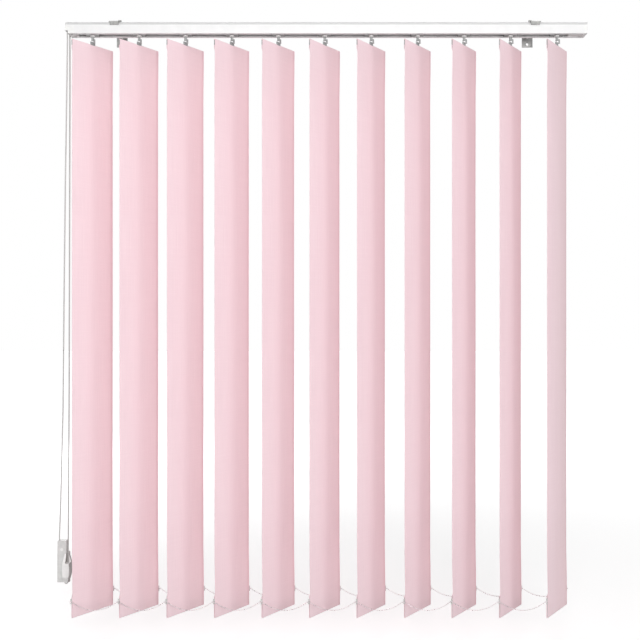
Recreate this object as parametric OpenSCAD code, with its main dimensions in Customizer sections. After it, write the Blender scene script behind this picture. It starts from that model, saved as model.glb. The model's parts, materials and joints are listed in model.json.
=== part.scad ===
/* [Vanes] */
// Number of vanes
vane_count = 11; // [3:1:11]
// Width of one vane
vane_w = 89; // [84:1:127]
// Height of one vane
vane_len = 976; // [500:1:2200]
// Distance from one vane to the next
vane_pitch = 80; // [74:1:118]
// Thickness of the vane's cloth
vane_t = 0.5; // [0.3:0.05:0.7]
// How far the middle of a vane bows out of its flat ends
vane_bow = 2.5; // [0.5:0.5:4]
// Height over which a flat end passes into the bowed middle
bow_blend = 140; // [60:5:200]
// Angle of the vanes to the rail, zero when fully closed
open_angle = 54.5; // [20:0.5:110]
// Gap between the rail's underside and the top of the vanes
vane_drop = 16; // [14:0.5:24]
// Height of the sewn pocket at the top of a vane
top_pocket_h = 18; // [15:0.5:30]
// Height of the sewn pocket at the foot of a vane
foot_pocket_h = 38; // [37:0.5:50]
// Room in a pocket around the plate that it holds, on each side
pocket_gap = 0.1; // [0.05:0.05:0.25]

/* [Hangers] */
// Radius of the stem that turns in a carrier
stem_r = 2.25; // [1.6:0.05:2.4]
// Thickness of the hook that holds a vane
hook_t = 1.6; // [1.2:0.1:2]
// Width of the hook along the vane
hook_w = 3; // [2:0.5:4]
// How far the hook stands out in front of the vane
hook_reach = 5; // [4:0.5:7]
// Thickness of the plate in the top pocket
hanger_t = 1.2; // [0.8:0.1:1.4]
// Height of the plate in the top pocket
hanger_h = 14; // [10:0.5:14.5]
// Width of the tongue that rises out of the top pocket
tongue_w = 10; // [8:0.5:14]
// How far the plate's ears stand proud of the cloth
ear_out = 0.6; // [0.3:0.1:2]

/* [Weights and chains] */
// Thickness of the weight in the foot pocket
weight_t = 1.6; // [1:0.1:1.8]
// Height of the weight
weight_h = 32; // [24:1:34]
// Height of the chain hooks over the foot of a vane
chain_h = 28; // [16:1:28]
// Height of the tab that a chain hooks on to
tab_h = 9; // [5:0.5:11]
// Radius of a chain's end ring, to the middle of its wire
ring_r = 2; // [1.9:0.1:2.6]
// Radius of the ring's wire
ring_wire_r = 0.5; // [0.3:0.05:0.55]
// Radius of the chain's thread
chain_r = 0.55; // [0.3:0.05:0.6]
// Radius of the chain's beads
bead_r = 1; // [0.7:0.1:1.2]
// Number of beads between two vanes
bead_count = 6; // [2:1:8]
// How far the chain sags between two vanes
chain_sag = 14; // [4:1:20]

/* [Headrail] */
// Depth of the rail, from front to back
rail_depth = 26; // [26:0.5:34]
// Height of the rail
rail_h = 19.5; // [19.5:0.5:26]
// Thickness of the rail's walls
rail_wall = 1.3; // [0.8:0.1:1.4]
// Width of the slot along the rail's underside
rail_slot = 14; // [13.6:0.2:15]
// Height of the grooves along the top of the front and the back
groove_h = 3.5; // [3.2:0.1:4]
// Depth of these grooves
groove_d = 1.2; // [0.8:0.1:1.2]
// Thickness of the lip over each groove
lip_t = 1; // [0.8:0.1:1.3]
// Rounding of the rail's outer edges
rail_round = 1; // [0.4:0.1:1.2]
// Distance from the first vane's pivot to the rail's control end
control_margin = 44.5; // [44:0.5:70]
// Distance from the last vane's pivot to the rail's other end
idle_margin = 49; // [48:0.5:80]
// Length of the end cap that holds the control cord's pulleys
control_cap_len = 16; // [15.5:0.5:24]
// Thickness of the other end cap
idle_cap_len = 5; // [2:0.5:8]
// How far the end caps reach into the rail
plug_len = 4; // [3:0.5:5]

/* [Carriers] */
// Length of a carrier along the rail
carrier_len = 22; // [21:0.5:26]
// Width of the carrier's upper block
carrier_w = 20.4; // [20:0.1:20.6]
// Width of the carrier's foot, which runs in the slot
foot_w = 13.2; // [12.4:0.1:13.4]
// Diameter of the carrier's wheels
wheel_d = 6; // [5.6:0.1:6.2]
// Thickness of the carrier's wheels
wheel_w = 3; // [2:0.1:3.2]
// Radius of the wheels' stub axles
wheel_axle_r = 1.1; // [0.8:0.05:1.3]
// Thickness of a spacer link
link_t = 0.3; // [0.2:0.05:0.35]
// Width of a spacer link
link_w = 6; // [4:0.5:6]

/* [Tilt rod] */
// Radius of the tilt rod
rod_r = 2.2; // [1.8:0.05:2.3]
// Distance of the rod behind the pivots
rod_back = 6.6; // [6.4:0.1:6.7]
// Outer radius of a worm
worm_r = 3; // [2.8:0.05:3]
// Length of a worm
worm_len = 8; // [6:0.5:8.5]
// Number of teeth on a stem's gear
gear_teeth = 12; // [8:1:16]

/* [Wall brackets] */
// Distance of the vanes' pivots from the wall
wall_gap = 50; // [47:0.5:90]
// Distance from an end vane's pivot to the nearer bracket
bracket_inset = 40; // [20:1:60]
// Width of a bracket
bracket_w = 19; // [16:0.5:24]
// Thickness of a bracket's plate
bracket_t = 1.6; // [1.2:0.1:2.5]
// Height of the rail's underside below the middle of the screw holes
rail_drop = 6.5; // [6:0.5:12]
// How far a bracket reaches below the rail
leg_drop = 5.5; // [5:0.5:16]
// Distance between a bracket's two screw holes
hole_gap = 13; // [10:0.5:14]
// Radius of the screw holes
hole_r = 2.3; // [1.8:0.1:2.5]
// Thickness of the spring clip between rail and bracket
clip_t = 1; // [0.6:0.1:1.4]
// Height of the clip's front and rear fingers
clip_drop = 5; // [4.6:0.1:5.2]
// How far the clip's release lever stands out in front
lever_out = 2.5; // [1:0.5:4]
// Radius of the rivet that joins clip and bracket
rivet_r = 2; // [1.5:0.1:2.5]

/* [Control] */
// Diameter of the control cord
cord_d = 2.2; // [1.8:0.1:2.2]
// Radius of the corner pulleys, to the middle of the cord
corner_r = 5; // [4.5:0.1:5.2]
// Thickness of the pulleys
pulley_w = 4; // [3.4:0.1:4]
// Radius of the pulleys' pins
pin_r = 1.5; // [1:0.1:1.8]
// Radius of the tensioner's wheel, to the middle of the cord
tension_r = 7.8; // [7:0.1:8]
// Distance of the tensioner's wheel from the wall
tension_out = 9; // [8.4:0.1:9.6]
// Height of the tensioner
tension_h = 76; // [62:1:100]
// Width of the tensioner's base
tension_w = 19.2; // [18.6:0.1:21]
// Thickness of the tensioner's back plate
tension_t = 2.5; // [1.5:0.1:4]
// Depth of the block that takes the tensioner's screw
tension_block_d = 14; // [12:0.5:18]
// Height of this block
tension_block_h = 22.5; // [20:0.5:30]
// Depth of the base's box beside the tensioner's wheel
tension_box_d = 14.5; // [14.2:0.1:16]
// Depth of the rounded housing over the wheel
housing_d = 22; // [18:0.5:28]
// Width of this housing
housing_w = 12.5; // [12:0.5:16]
// Walls of the box and the housing
housing_wall = 1.2; // [0.8:0.1:1.3]
// How far the housing stands out to the side beyond the base
housing_bulge = 3.8; // [3:0.1:10]

/* [Hidden] */
$fn = 48;

function two(i) = i < 10 ? str("0", i) : str(i);
numbers = [for (i = [1:vane_count]) two(i)];

// Clearances: of what runs, what passes freely, what is seated, a link's ears and a strand in its hole
run_gap = 0.1;
free_gap = 0.3;
seat_gap = 0.2;
ear_gap = 0.05;
strand_gap = 0.5;

// How far a cut runs past the face that it opens, and how far two forms of one piece run into each other
cut = 1;
bite = 1;

// Rows of cloth and how many strips each row has
bow_steps = 4;
cloth_strips = 8;

// Where the vanes hang
first_x = -(vane_count - 1) / 2 * vane_pitch;
last_x = -first_x;
function pivot_x(i) = first_x + (i - 1) * vane_pitch;

// The rail's section: its underside, top, floor, ceiling and the shoulder under the grooves
rail_z = -rail_drop;
rail_top = rail_z + rail_h;
floor_z = rail_z + rail_wall;
ceil_z = rail_top - rail_wall;
groove_z = rail_top - lip_t - groove_h;
shoulder_z = groove_z - rail_wall;
cavity_w = rail_depth - 2 * rail_wall;
cavity_top_w = cavity_w - 2 * groove_d;

// The rail's length
rail_end0 = first_x - control_margin;
rail_end1 = last_x + idle_margin;
rail_x0 = rail_end0 + control_cap_len;
rail_x1 = rail_end1 - idle_cap_len;

// A carrier's levels
wheel_z = floor_z + run_gap + wheel_d / 2;
block_z = floor_z + run_gap + wheel_d + free_gap;
roof_gap = 1.1;
block_top = ceil_z - roof_gap;
foot_gap = 0.5;
rod_lift = 2.4;
rod_z = block_z + rod_lift;
gear_h = 4;
gear_z = rod_z - gear_h / 2;
gear_r = rod_back - worm_r - free_gap;
tooth_h = 0.5;
wheel_x = carrier_len / 2 - wheel_d / 2 - 0.4;
worm_wall = 0.35;
worm_ridges = 4;
journal_r = 1.5;
journal_h = 0.9;
link_z = gear_z + gear_h + 1.9;
link_levels = 5;
link_air = 0.2;
link_step = link_t + link_air;
link_gap = 0.15;
link_inset = 2;
link_ear = 0.9;
link_ear_len = 4;

// The cord's runs in the rail
cord_r = cord_d / 2;
cord_side = carrier_w / 2 - 2.6;
cord_z = shoulder_z + 1.3;
cord_hole_r = cord_r + free_gap;
pulley_rim = 0.6;
corner_inset = 8;
corner_x = rail_end0 + corner_inset;
corner_z = cord_z - corner_r;
cap_wall = 1.5;
pocket_roof = 0.8;
notch_gap = 1.1;
notch_h = 5.3;
socket_wall = 0.5;
pin_cover = 2;
pin_sunk = 0.5;
flute_r = 0.6;
flute_count = 3;
idler_r = cord_side;
idler_out = idler_r + max(pulley_rim, cord_r);
idler_x = rail_x1 - cap_wall - idler_out - free_gap;
idle_plug_x0 = idler_x - idler_out - plug_len - 1;

// The brackets' clips and rivets
arm_short = 1;
finger_w = 15;
toe_in = 0.9;
toe_t = 0.8;
lever_w = 5;
lever_up = 1.2;
rivet_head_h = 1.3;
rivet_rim = 1.6;

// The hanging parts, from the vane's top and foot
vane_top = rail_z - vane_drop;
vane_foot = vane_top - vane_len;
foot_half = weight_t / 2 + pocket_gap + vane_t;
top_half = hanger_t / 2 + pocket_gap + vane_t;
weight_z = 1.8;
weight_w = vane_w - 4;
peg_z = 1.9;
hook_top = 9.1;
hook_lip_gap = 0.6;
hook_lip_t = 1.4;
hook_lip_h = 1.6;
collar_r = 4;
collar_h = 1.9;
plate_down = 1.2;
plate_inset = 1.5;
plate_room = 0.4;
ear_h = 8;
ear_down = 1;
hole_room = 0.6;
tongue_over = 1.6;
weight_room_over = 0.7;
tab_lift = 0.5;
pocket_ease = 2;
ring_x = vane_w / 2 + 3;
ring_bar = 1;
ring_hole_r = 1.1;

// The tensioner
tension_drop = 886;
tension_beyond = 71.6;
tension_wheel_up = 17;
tension_x0 = first_x - tension_beyond;
tension_top = -tension_drop;
tension_foot = tension_top - tension_h;
tension_strand_in = 2.4;
tension_x = tension_x0 + tension_strand_in + tension_r;
tension_z = tension_foot + tension_wheel_up;
strand_x = tension_x + tension_r;
block_x1 = strand_x - cord_r - 0.9;
housing_top = tension_top - tension_block_h;
housing_half = (housing_top - tension_foot) / 2;
housing_mid_z = tension_foot + housing_half;
housing_right = tension_x0 + tension_w + housing_bulge;
housing_left = housing_right - housing_w;
right_bow = 6;
left_bow = 3;
bevel_h = 0.5 * housing_half;
mouth_h = 0.6 * housing_half;
mouth_z = housing_top - mouth_h;
mouth_gap = 0.4;
box_x1 = housing_left + left_bow + free_gap;
box_foot_up = 3;
screw_x = tension_x0 + 7.9;
screw_z = tension_top - 15.5;
screw_r = 1.6;
button_r = 2.6;
button_out = 0.5;
button_in = 2.5;
plate_round = 2;
block_round = 1;
wheel_pin_r = pin_r + 0.5;
pin_past = 1;

// The control cord's strands, from a corner pulley down to the tensioner's wheel: in each row the share of
// the way down, of the way to the side and of the way back to the wall
front_strand = [
    [0.025, 0.004, 0.002], [0.088, 0.036, 0.012], [0.267, 0.18, 0.115], [0.478, 0.379, 0.342],
    [0.689, 0.578, 0.609], [0.868, 0.87, 0.89], [0.928, 1, 1]
];
rear_strand = [
    [0.025, 0.007, 0.003], [0.088, 0.053, 0.072], [0.267, 0.233, 0.266], [0.478, 0.459, 0.506],
    [0.689, 0.684, 0.731], [0.868, 0.93, 0.95], [0.928, 1, 1]
];

// Its route, one endless loop whose ends meet halfway along the front run
front_y = -wall_gap - cord_side;
rear_y = -wall_gap + cord_side;
cord_join = 0.1;
function between(from, to, share) = [for (k = [0:2]) from[k] + share[k] * (to[k] - from[k])];
function strand(y, side, rows) = [
    for (row = rows)
        between([corner_x - corner_r, y, corner_z], [tension_x + side * tension_r, -tension_out, tension_z],
            [row[1], row[2], row[0]])
];
function backwards(rows) = [for (k = [len(rows) - 1:-1:0]) rows[k]];
function corner_turn(y) = [
    for (a = [90:30:180]) [corner_x + corner_r * cos(a), y, corner_z + corner_r * sin(a)]
];
cord_points = concat(
    [[0, front_y, cord_z]],
    corner_turn(front_y),
    strand(front_y, -1, front_strand),
    [for (a = [180:22.5:360])
        [tension_x + tension_r * cos(a), -tension_out, tension_z + tension_r * sin(a)]],
    backwards(strand(rear_y, 1, rear_strand)),
    backwards(corner_turn(rear_y)),
    [for (a = [90:-22.5:-90]) [idler_x + idler_r * cos(a), -wall_gap + idler_r * sin(a), cord_z]],
    [[cord_join, front_y, cord_z]]
);
cord_sides = 8;

// A section of the rail, drawn across it and carried from one place along it to another
module along_rail(x0, x1) {
    translate([x0, -wall_gap, 0])
        rotate([90, 0, 90])
            linear_extrude(x1 - x0)
                children();
}

// A plate drawn as seen from the front, with its back at the given distance from the wall
module facing(out, depth) {
    translate([0, -out, 0])
        rotate([90, 0, 0])
            linear_extrude(depth)
                children();
}

// A round bar or bore across the rail, from y0 to y1
module across(x, y0, y1, z, r) {
    translate([x, y0, z])
        rotate([-90, 0, 0])
            cylinder(h = y1 - y0, r = r);
}

module block(x0, x1, y0, y1, z0, z1) {
    translate([x0, y0, z0])
        cube([x1 - x0, y1 - y0, z1 - z0]);
}

module round_plate(w, h, r) {
    translate([r, 0])
        square([w - 2 * r, h]);
    translate([0, r])
        square([w, h - 2 * r]);
    for (x = [r, w - r], y = [r, h - r])
        translate([x, y])
            circle(r);
}

module rail_outline() {
    difference() {
        translate([-rail_depth / 2, rail_z])
            round_plate(rail_depth, rail_h, rail_round);
        for (side = [-1, 1])
            translate([side * (rail_depth / 2 + cut - groove_d) - cut, groove_z])
                square([2 * cut, groove_h]);
    }
}

module rail_cavity(gap) {
    translate([-cavity_w / 2 + gap, floor_z + gap])
        square([cavity_w - 2 * gap, shoulder_z - floor_z - 2 * gap]);
    translate([-cavity_top_w / 2 + gap, floor_z + gap])
        square([cavity_top_w - 2 * gap, ceil_z - floor_z - 2 * gap]);
}

module headrail() {
    color("white")
        along_rail(rail_x0, rail_x1)
            difference() {
                rail_outline();
                rail_cavity(0);
                translate([-rail_slot / 2, rail_z - cut])
                    square([rail_slot, rail_wall + 2 * cut]);
            }
}

// Hollow for one corner pulley and the strand that drops from it
module corner_pocket(side) {
    half = pulley_w / 2 + free_gap;
    reach = corner_r + cord_r + free_gap;
    y = -wall_gap + side * cord_side;
    block(corner_x - reach, corner_x + reach, y - half, y + half, rail_z - cut, ceil_z - pocket_roof);
    translate([corner_x, y, cord_z])
        rotate([0, 90, 0])
            cylinder(h = control_cap_len + plug_len, r = cord_hole_r);
}

module control_end_cap() {
    color("white") {
        difference() {
            union() {
                along_rail(rail_end0, rail_x0)
                    rail_outline();
                along_rail(rail_x0, rail_x0 + plug_len)
                    rail_cavity(seat_gap);
            }
            corner_pocket(-1);
            corner_pocket(1);
            block(rail_end0 - cut, corner_x - corner_r + cord_r + notch_gap,
                -wall_gap - rail_depth, -wall_gap + rail_depth, rail_z - cut, rail_z + notch_h);
            translate([rail_x0 + socket_wall, -wall_gap + rod_back, rod_z])
                rotate([0, 90, 0])
                    cylinder(h = plug_len, r = rod_r + run_gap);
        }
        across(corner_x, -wall_gap - rail_depth / 2 + pin_cover, -wall_gap + rail_depth / 2 - pin_cover,
            corner_z, pin_r);
    }
}

module idle_end_cap() {
    shelf_z = cord_z + pulley_w / 2 + run_gap;
    deck_z = cord_z - pulley_w / 2 - run_gap;
    color("white") {
        difference() {
            union() {
                along_rail(rail_x1, rail_end1)
                    rail_outline();
                along_rail(idle_plug_x0, rail_x1)
                    rail_cavity(seat_gap);
            }
            block(idle_plug_x0 - cut, rail_x1 - cap_wall, -wall_gap - rail_depth, -wall_gap + rail_depth,
                deck_z, shelf_z);
            translate([idle_plug_x0 - cut, -wall_gap + rod_back, rod_z])
                rotate([0, 90, 0])
                    cylinder(h = plug_len + cut, r = rod_r + run_gap);
        }
        translate([idler_x, -wall_gap, deck_z - pin_sunk])
            cylinder(h = shelf_z - deck_z + 2 * pin_sunk, r = pin_r);
    }
}

module tilt_rod() {
    x0 = rail_x0 + socket_wall + free_gap;
    x1 = idle_plug_x0 + plug_len - free_gap;
    color("silver")
        translate([x0, -wall_gap + rod_back, rod_z])
            rotate([90, 0, 90])
                linear_extrude(x1 - x0)
                    difference() {
                        circle(rod_r);
                        for (k = [0:flute_count - 1])
                            rotate(360 * k / flute_count)
                                translate([rod_r, 0])
                                    circle(flute_r);
                    }
}

// A grooved wheel for the cord, on its own axis
module cord_wheel(r, bore_r) {
    rotate_extrude()
        difference() {
            translate([bore_r, -pulley_w / 2])
                square([r + pulley_rim - bore_r, pulley_w]);
            translate([r, 0])
                circle(cord_r + free_gap);
        }
}

module corner_pulley(side) {
    color("gainsboro")
        translate([corner_x, -wall_gap + side * cord_side, corner_z])
            rotate([90, 0, 0])
                cord_wheel(corner_r, pin_r + run_gap);
}

module idle_pulley() {
    color("gainsboro")
        translate([idler_x, -wall_gap, cord_z])
            cord_wheel(idler_r, pin_r + run_gap);
}

// The cord is a tube swept along its points, each ring standing across the route
function unit(v) = v / norm(v);
function heading(p, i) = unit(
    unit(p[min(i + 1, len(p) - 1)] - p[min(i, len(p) - 2)]) + unit(p[max(i, 1)] - p[max(i - 1, 0)]));
function carried(side, h) = unit(side - (side * h) * h);
function sides_along(p, i, side) =
    i == len(p) ? [] : let (s = carried(side, heading(p, i))) concat([s], sides_along(p, i + 1, s));

module tube(p, r, n) {
    sides = sides_along(p, 0, [0, 1, 0]);
    points = [
        for (i = [0:len(p) - 1], k = [0:n - 1])
            let (h = heading(p, i), s = sides[i], t = cross(h, s))
                p[i] + r * (cos(360 * k / n) * s + sin(360 * k / n) * t)
    ];
    walls = [
        for (i = [0:len(p) - 2], k = [0:n - 1])
            let (a = i * n + k, b = i * n + (k + 1) % n)
                each [[a, a + n, b + n], [a, b + n, b]]
    ];
    start = [for (k = [0:n - 1]) k];
    end = [for (k = [n - 1:-1:0]) (len(p) - 1) * n + k];
    polyhedron(points, concat(walls, [start, end]));
}

module control_cord() {
    color("whitesmoke")
        tube(cord_points, cord_r, cord_sides);
}

module wall_bracket(x) {
    arm_z = rail_top + clip_t;
    arm_y = -wall_gap - rail_depth / 2 + arm_short;
    color("silver")
        difference() {
            union() {
                block(x - bracket_w / 2, x + bracket_w / 2, -bracket_t, 0,
                    rail_z - leg_drop, arm_z + bracket_t);
                block(x - bracket_w / 2, x + bracket_w / 2, arm_y, 0, arm_z, arm_z + bracket_t);
            }
            for (side = [-1, 1])
                across(x, -bracket_t - cut, cut, side * hole_gap / 2, hole_r);
            translate([x, -wall_gap, arm_z - cut])
                cylinder(h = bracket_t + 2 * cut, r = rivet_r + run_gap);
        }
}

module wall_brackets() {
    for (side = [-1, 1])
        wall_bracket(side * (last_x - bracket_inset));
}

// A spring clip: its fingers snap under the lips along the rail's top, a lever frees the front one
module rail_clip(x, side) {
    inner = -side * 2 * lever_w;
    front = rail_depth / 2 + run_gap;
    color("darkgray")
        difference() {
            union() {
                block(x - bracket_w / 2, x + bracket_w / 2,
                    -wall_gap - front - clip_t, -wall_gap + front + clip_t,
                    rail_top, rail_top + clip_t);
                for (s = [-1, 1]) {
                    y = -wall_gap + s * (front + clip_t / 2);
                    block(x - finger_w / 2, x + finger_w / 2, y - clip_t / 2, y + clip_t / 2,
                        rail_top - clip_drop, rail_top + clip_t);
                    block(x - finger_w / 2, x + finger_w / 2, y - clip_t / 2 - (s > 0 ? toe_in : 0),
                        y + clip_t / 2 + (s < 0 ? toe_in : 0),
                        rail_top - lip_t - run_gap - toe_t, rail_top - lip_t - run_gap);
                }
                block(x + inner - lever_w / 2, x + inner + lever_w / 2,
                    -wall_gap - front - clip_t - lever_out, -wall_gap - front,
                    rail_top - run_gap, rail_top + clip_t + lever_up);
            }
            translate([x, -wall_gap, rail_top - cut])
                cylinder(h = clip_t + 2 * cut, r = rivet_r + run_gap);
        }
}

module rail_clips() {
    for (side = [-1, 1])
        rail_clip(side * (last_x - bracket_inset), side);
}

// The two bracket rivets and the button over the tensioner's screw hole
module fixings() {
    color("silver")
        for (side = [-1, 1])
            translate([side * (last_x - bracket_inset), -wall_gap, rail_top]) {
                cylinder(h = clip_t + bracket_t, r = rivet_r);
                translate([0, 0, clip_t + bracket_t])
                    cylinder(h = rivet_head_h, r1 = rivet_r + rivet_rim, r2 = rivet_r);
            }
    color("white")
        across(screw_x, -tension_block_d - button_out, -tension_block_d + button_in, screw_z, button_r);
}

// A form drawn as seen from the side, with its distances from the wall to the left, and carried from x0 to x1
module beside_wall(x0, x1) {
    translate([x0, 0, 0])
        rotate([90, 0, 90])
            linear_extrude(x1 - x0)
                mirror([1, 0])
                    children();
}

// The housing as seen from the front, a leaf between two arcs
module housing_leaf(inset) {
    function arc_r(bow) = (housing_half * housing_half + bow * bow) / (2 * bow);
    intersection() {
        translate([housing_right - arc_r(right_bow), housing_mid_z])
            circle(arc_r(right_bow) - inset, $fn = 96);
        translate([housing_left + arc_r(left_bow), housing_mid_z])
            circle(arc_r(left_bow) - inset, $fn = 96);
        translate([housing_left, tension_foot])
            square([housing_w, 2 * housing_half]);
    }
}

// The housing as seen from the side, bevelled at its top and foot
module housing_side(inset) {
    top = housing_top - seat_gap - inset;
    polygon([
        [tension_t, tension_foot + inset],
        [tension_box_d - inset, tension_foot + inset],
        [housing_d - inset, tension_foot + bevel_h],
        [housing_d - inset, housing_top - bevel_h],
        [tension_box_d - inset, top],
        [tension_t, top]
    ]);
}

module tensioner_base() {
    strand = cord_r + strand_gap;
    color("gainsboro")
        difference() {
            union() {
                facing(0, tension_t) {
                    translate([tension_x0, tension_foot])
                        round_plate(tension_w, 2 * housing_half + plate_round, plate_round);
                    housing_leaf(0);
                }
                facing(0, tension_block_d)
                    translate([tension_x0, housing_top])
                        round_plate(block_x1 - tension_x0, tension_block_h, block_round);
                difference() {
                    block(tension_x0, box_x1, -tension_box_d, -tension_t,
                        tension_foot + box_foot_up, housing_top);
                    block(tension_x0 + housing_wall, box_x1 + cut, housing_wall - tension_box_d, -tension_t,
                        tension_foot + box_foot_up + housing_wall, mouth_z - housing_wall);
                    facing(tension_t, tension_box_d)
                        housing_leaf(-seat_gap);
                }
                across(tension_x, -tension_out - pulley_w / 2 - pin_past, -tension_t, tension_z,
                    wheel_pin_r);
            }
            translate([tension_x - tension_r, -tension_out, mouth_z - housing_wall - cut])
                cylinder(h = tension_top - mouth_z + housing_wall + 2 * cut, r = strand);
            across(screw_x, -tension_block_d - cut, cut, screw_z, screw_r);
            across(screw_x, -tension_block_d - cut, -tension_block_d + button_in, screw_z, button_r);
        }
}

// The housing over the wheel's other half: open to the box, and cut away in front of the strand that comes out
module tensioner_cover() {
    strand = cord_r + strand_gap;
    color("whitesmoke")
        difference() {
            intersection() {
                facing(tension_t, housing_d)
                    housing_leaf(0);
                beside_wall(housing_left, housing_right)
                    housing_side(0);
            }
            intersection() {
                block(housing_left, housing_right, -housing_d, 0, tension_foot, mouth_z - housing_wall);
                facing(0, housing_d)
                    housing_leaf(housing_wall);
                beside_wall(housing_left, housing_right)
                    housing_side(housing_wall);
            }
            block(housing_left - cut, box_x1, housing_wall - tension_box_d, 0,
                tension_foot + box_foot_up + housing_wall, mouth_z - housing_wall);
            block(strand_x - strand - mouth_gap, housing_right + cut, -housing_d - cut,
                strand + mouth_gap - tension_out, mouth_z, housing_top + cut);
            translate([strand_x, -tension_out, mouth_z - housing_wall - cut])
                cylinder(h = housing_wall + 2 * cut, r = strand);
        }
}

module tensioner_wheel() {
    color("gainsboro")
        translate([tension_x, -tension_out, tension_z])
            rotate([90, 0, 0])
                cord_wheel(tension_r, wheel_pin_r + run_gap);
}

// One chain: rings at the vanes' hooks, sagging threads of beads between them
module chain(side) {
    span = vane_pitch - 2 * ring_r;
    arc_r = (span * span / 4 + chain_sag * chain_sag) / (2 * chain_sag);
    half = asin(span / 2 / arc_r);
    x = side * ring_x * cos(open_angle);
    y = -wall_gap + side * ring_x * sin(open_angle);
    z = vane_foot + chain_h;
    step = 2 * half / (bead_count + 1);
    piece = 2 * arc_r * sin(step / 2);
    for (i = [1:vane_count])
        translate([pivot_x(i) + x, y, z])
            rotate_extrude()
                translate([ring_r, 0])
                    circle(ring_wire_r);
    for (i = [1:vane_count - 1])
        translate([pivot_x(i) + x + vane_pitch / 2, y, z - chain_sag + arc_r])
            for (k = [0:bead_count])
                rotate([0, half - k * step, 0])
                    translate([0, 0, -arc_r])
                        rotate([0, 90 - step / 2, 0]) {
                            cylinder(h = piece, r = chain_r);
                            if (k > 0)
                                sphere(bead_r);
                        }
}

module front_chain() {
    color("white")
        chain(-1);
}

module rear_chain() {
    color("white")
        chain(1);
}

// Everything below is drawn at a pivot, along the rail for a carrier and along the vane for the rest
module at_pivot(i) {
    translate([pivot_x(i), -wall_gap, 0])
        children();
}

module at_vane(i) {
    at_pivot(i)
        rotate(open_angle)
            children();
}

module along_x(x0, x1, y, z, r) {
    translate([x0, y, z])
        rotate([0, 90, 0])
            cylinder(h = x1 - x0, r = r);
}

module carrier_housing(i) {
    half = carrier_len / 2;
    chamber_r = gear_r + free_gap;
    worm_half = worm_len / 2 + free_gap;
    slot_z = link_z - link_gap;
    slot_h = link_levels * link_step + 2 * link_gap;
    ear_x = -half + link_inset;
    difference() {
        union() {
            block(-half, half, -carrier_w / 2, carrier_w / 2, block_z, block_top);
            block(-half, half, -foot_w / 2, foot_w / 2, rail_z + foot_gap, block_z + bite);
            for (x = [-wheel_x, wheel_x])
                across(x, -carrier_w / 2, carrier_w / 2, wheel_z, wheel_axle_r);
        }
        along_x(-half - cut, half + cut, rod_back, rod_z, rod_r + free_gap);
        along_x(-worm_half, worm_half, rod_back, rod_z, worm_r + free_gap);
        block(-worm_half, worm_half, rod_back, carrier_w, block_z - cut, rod_z + worm_r - free_gap);
        for (side = [-1, 1])
            along_x(-half - cut, half + cut, side * cord_side, cord_z, cord_hole_r);
        translate([0, 0, gear_z - free_gap])
            cylinder(h = gear_h + 2 * free_gap, r = chamber_r);
        translate([0, 0, rail_z])
            cylinder(h = gear_z - rail_z, r = stem_r + run_gap);
        translate([0, 0, gear_z])
            cylinder(h = gear_h + journal_h + seat_gap, r = journal_r + run_gap);
        block(-half - cut, half + cut, -link_w / 2 - free_gap, link_w / 2 + free_gap,
            slot_z, slot_z + slot_h);
        if (i < vane_count)
            block(ear_x - ear_gap, ear_x + link_ear_len + ear_gap, 0, link_w / 2 + link_ear + ear_gap,
                level_z(i) - ear_gap, level_z(i) + link_t + ear_gap);
    }
}

// Each spacer link lies on its own level, so that the links pass one another when the vanes stack
function level_z(i) = link_z + (i % link_levels) * link_step;

module spacer_link(i) {
    half = carrier_len / 2;
    ear_x = -half + link_inset;
    block(ear_x, vane_pitch - ear_x, -link_w / 2, link_w / 2, level_z(i), level_z(i) + link_t);
    block(ear_x, ear_x + link_ear_len, link_w / 2 - bite, link_w / 2 + link_ear,
        level_z(i), level_z(i) + link_t);
}

module worm() {
    bore_r = rod_r + run_gap;
    root_r = bore_r + worm_wall;
    step = worm_len / worm_ridges;
    ridge = [
        for (k = [0:worm_ridges - 1])
            let (z = k * step, foot = 0.3 * step, flank = 0.2 * step)
                each [[root_r, z], [root_r, z + foot], [worm_r, z + foot + flank],
                    [worm_r, z + foot + 2 * flank]]
    ];
    translate([-worm_len / 2, rod_back, rod_z])
        rotate([0, 90, 0])
            rotate_extrude()
                polygon(concat([[bore_r, 0]], ridge, [[root_r, worm_len], [bore_r, worm_len]]));
}

module carrier(i) {
    at_pivot(i) {
        color("white") {
            carrier_housing(i);
            worm();
        }
        color("gainsboro")
            for (x = [-wheel_x, wheel_x], side = [-1, 1])
                translate([x, side * (foot_w / 2 + free_gap + wheel_w / 2), wheel_z])
                    rotate([90, 0, 0])
                        difference() {
                            cylinder(h = wheel_w, r = wheel_d / 2, center = true);
                            cylinder(h = wheel_w + cut, r = wheel_axle_r + run_gap, center = true);
                        }
        if (i < vane_count)
            color("silver")
                spacer_link(i);
    }
}

module gear_section() {
    difference() {
        circle(gear_r);
        for (k = [0:gear_teeth - 1])
            rotate(360 * k / gear_teeth)
                translate([gear_r - tooth_h, -tooth_h])
                    square(2 * tooth_h);
    }
}

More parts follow.
